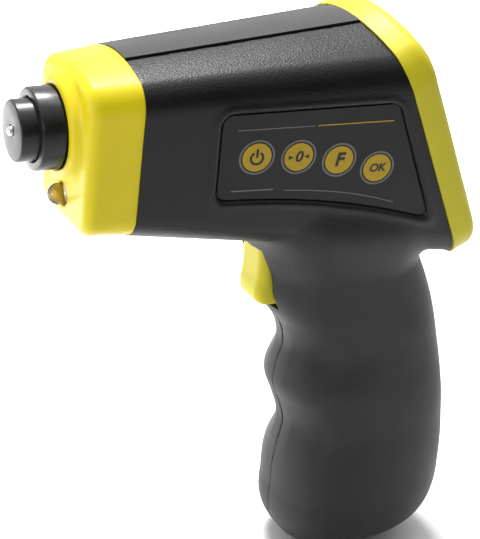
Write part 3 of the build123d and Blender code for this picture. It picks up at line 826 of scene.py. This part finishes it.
def build_keypad():
    """The lines and rings printed on the film, and the symbols on the keys."""
    rings, wells = [], []
    for u, v in KEY_PLACES.values():
        wells += ring_outlines(u, v, 3.62, 3.92)
        rings += ring_outlines(u, v, 3.92, 4.32)
    plate("key_wells", wells, -1, FILM_TOP, "housing", INK_BLACK, 0.02)
    plate("key_rings", rings, -1, FILM_TOP, "housing", INK_GREY)
    lines = line_outlines(((-14.2, 2.1), (4.4, 2.0)), 0.22)
    accent = line_outlines(((5.2, 2.0), (24.2, 1.9)), 0.26)
    plate("film_accent", accent, -1, FILM_TOP, "housing", KEY_YELLOW)
    lines += line_outlines(((-14.2, -13.1), (-4.0, -13.4)), 0.3)
    lines += line_outlines(((-1.2, -13.9), (5.0, -14.5), (11.0, -15.3), (17.0, -16.5), (22.5, -18.0),
                            (27.6, -19.7)), 0.22)
    plate("film_lines", lines, -1, FILM_TOP, "housing", INK_GREY)
    u, v = KEY_PLACES["key_power"]
    power = ring_outlines(u, v - 0.2, 1.2, 1.75, 32, 120, 300)
    power += line_outlines(((u, v), (u, v + 2.1)), 0.55)
    plate("power_symbol", power, -1, KEY_TOP, "key_power", INK_BLACK)
    u, v = KEY_PLACES["key_zero"]
    arrows = [((u - 2.5, v - 0.55), (u - 1.35, v), (u - 2.5, v + 0.55)),
              ((u + 2.5, v - 0.55), (u + 2.5, v + 0.55), (u + 1.35, v))]
    plate("zero_arrows", arrows, -1, KEY_TOP, "key_zero", INK_BLACK)
    legend_text("legend_zero", "0", "key_zero", 3.7, 0.1)
    legend_text("legend_function", "F", "key_function", 4.6, 0.16)
    legend_text("legend_ok", "OK", "key_ok", 2.8, 0.09)


# ---------------------------------------------------------------- light, floor and camera
CAMERA_AT = (-0.11154, -0.31485, 0.12129)
CAMERA_RIGHT = (0.89577, -0.43996, 0.06341)
CAMERA_AHEAD = (0.42435, 0.80394, -0.41666)
LENS_MM = 106.84


def build_camera():
    """The camera, from its place and two of its directions."""
    data = bpy.data.cameras.new("camera")
    data.lens = LENS_MM
    data.sensor_width = 36.0
    data.sensor_fit = "AUTO"
    data.clip_start, data.clip_end = 0.01, 20.0
    camera = bpy.data.objects.new("camera", data)
    bpy.context.scene.collection.objects.link(camera)
    ahead = Vector(CAMERA_AHEAD).normalized()
    right = Vector(CAMERA_RIGHT)
    right = (right - ahead * right.dot(ahead)).normalized()
    up = right.cross(ahead)
    turn = Matrix([right, up, -ahead]).transposed().to_4x4()
    camera.matrix_world = Matrix.Translation(CAMERA_AT) @ turn
    bpy.context.scene.camera = camera


def area_light(name, place, aim, size, power, spread=170.0):
    """A soft rectangular light."""
    data = bpy.data.lights.new(name, "AREA")
    data.shape = "RECTANGLE"
    data.size, data.size_y = size
    data.energy = power
    data.spread = math.radians(spread)
    light = bpy.data.objects.new(name, data)
    bpy.context.scene.collection.objects.link(light)
    light.location = place
    light.rotation_mode = "QUATERNION"
    light.rotation_quaternion = (Vector(aim) - Vector(place)).to_track_quat("-Z", "Y")


def build_floor():
    """A plain pale floor just under the grip."""
    mesh = bpy.data.meshes.new("floor")
    half, height = 3.0, cad_low.z - 0.0005
    corners = [(-half, -half), (half, -half), (half, half), (-half, half)]
    mesh.from_pydata([(x, y, height) for x, y in corners], [], [(0, 1, 2, 3)])
    material, nodes, links, shader = new_material("pale_floor")
    patch = noise(nodes, links, 8.0)
    pale = mix_colours(nodes, links, patch, (0.68, 0.68, 0.68), (0.7, 0.7, 0.7))
    links.new(pale, shader.inputs["Base Color"])
    shader.inputs["Roughness"].default_value = 0.8
    mesh.materials.append(material)
    floor = bpy.data.objects.new("floor", mesh)
    bpy.context.scene.collection.objects.link(floor)


def build_light():
    """A bright room behind and above the object, dim on the keypad side."""
    world = bpy.data.worlds.new("studio")
    world.use_nodes = True
    nodes, links = world.node_tree.nodes, world.node_tree.links
    coords = nodes.new("ShaderNodeTexCoord")
    height = nodes.new("ShaderNodeVectorMath")
    height.operation = "DOT_PRODUCT"
    height.inputs[1].default_value = (0.0, 0.6, 0.8)
    links.new(coords.outputs["Generated"], height.inputs[0])
    glow = ramp(nodes, links, height.outputs["Value"], 0.02, 1.45, (-0.12, 0.88))
    links.new(glow, nodes["Background"].inputs["Strength"])
    nodes["Background"].inputs["Color"].default_value = (1, 1, 1, 1)
    bpy.context.scene.world = world
    bpy.context.scene.view_settings.view_transform = "Standard"
    centre = (0.06, 0.0, -0.04)
    area_light("overhead", (0.12, 0.10, 0.8), centre, (0.5, 0.3), 1.1)
    area_light("floor_wash", (0.10, 0.60, 1.1), (0.10, 0.42, -0.12), (0.5, 0.4), 8.0, 46.0)
    area_light("front_fill", (-0.45, -0.85, 0.35), centre, (0.4, 0.3), 0.6)
    area_light("nose_fill", (-0.9, -0.1, 0.1), (0.02, 0.0, 0.0), (0.35, 0.35), 2.0)


build_camera()
build_light()
build_floor()
dress_cad_nodes()
build_housing()
build_trigger()
build_nose()
build_bezel()
build_probe()
build_keypad()
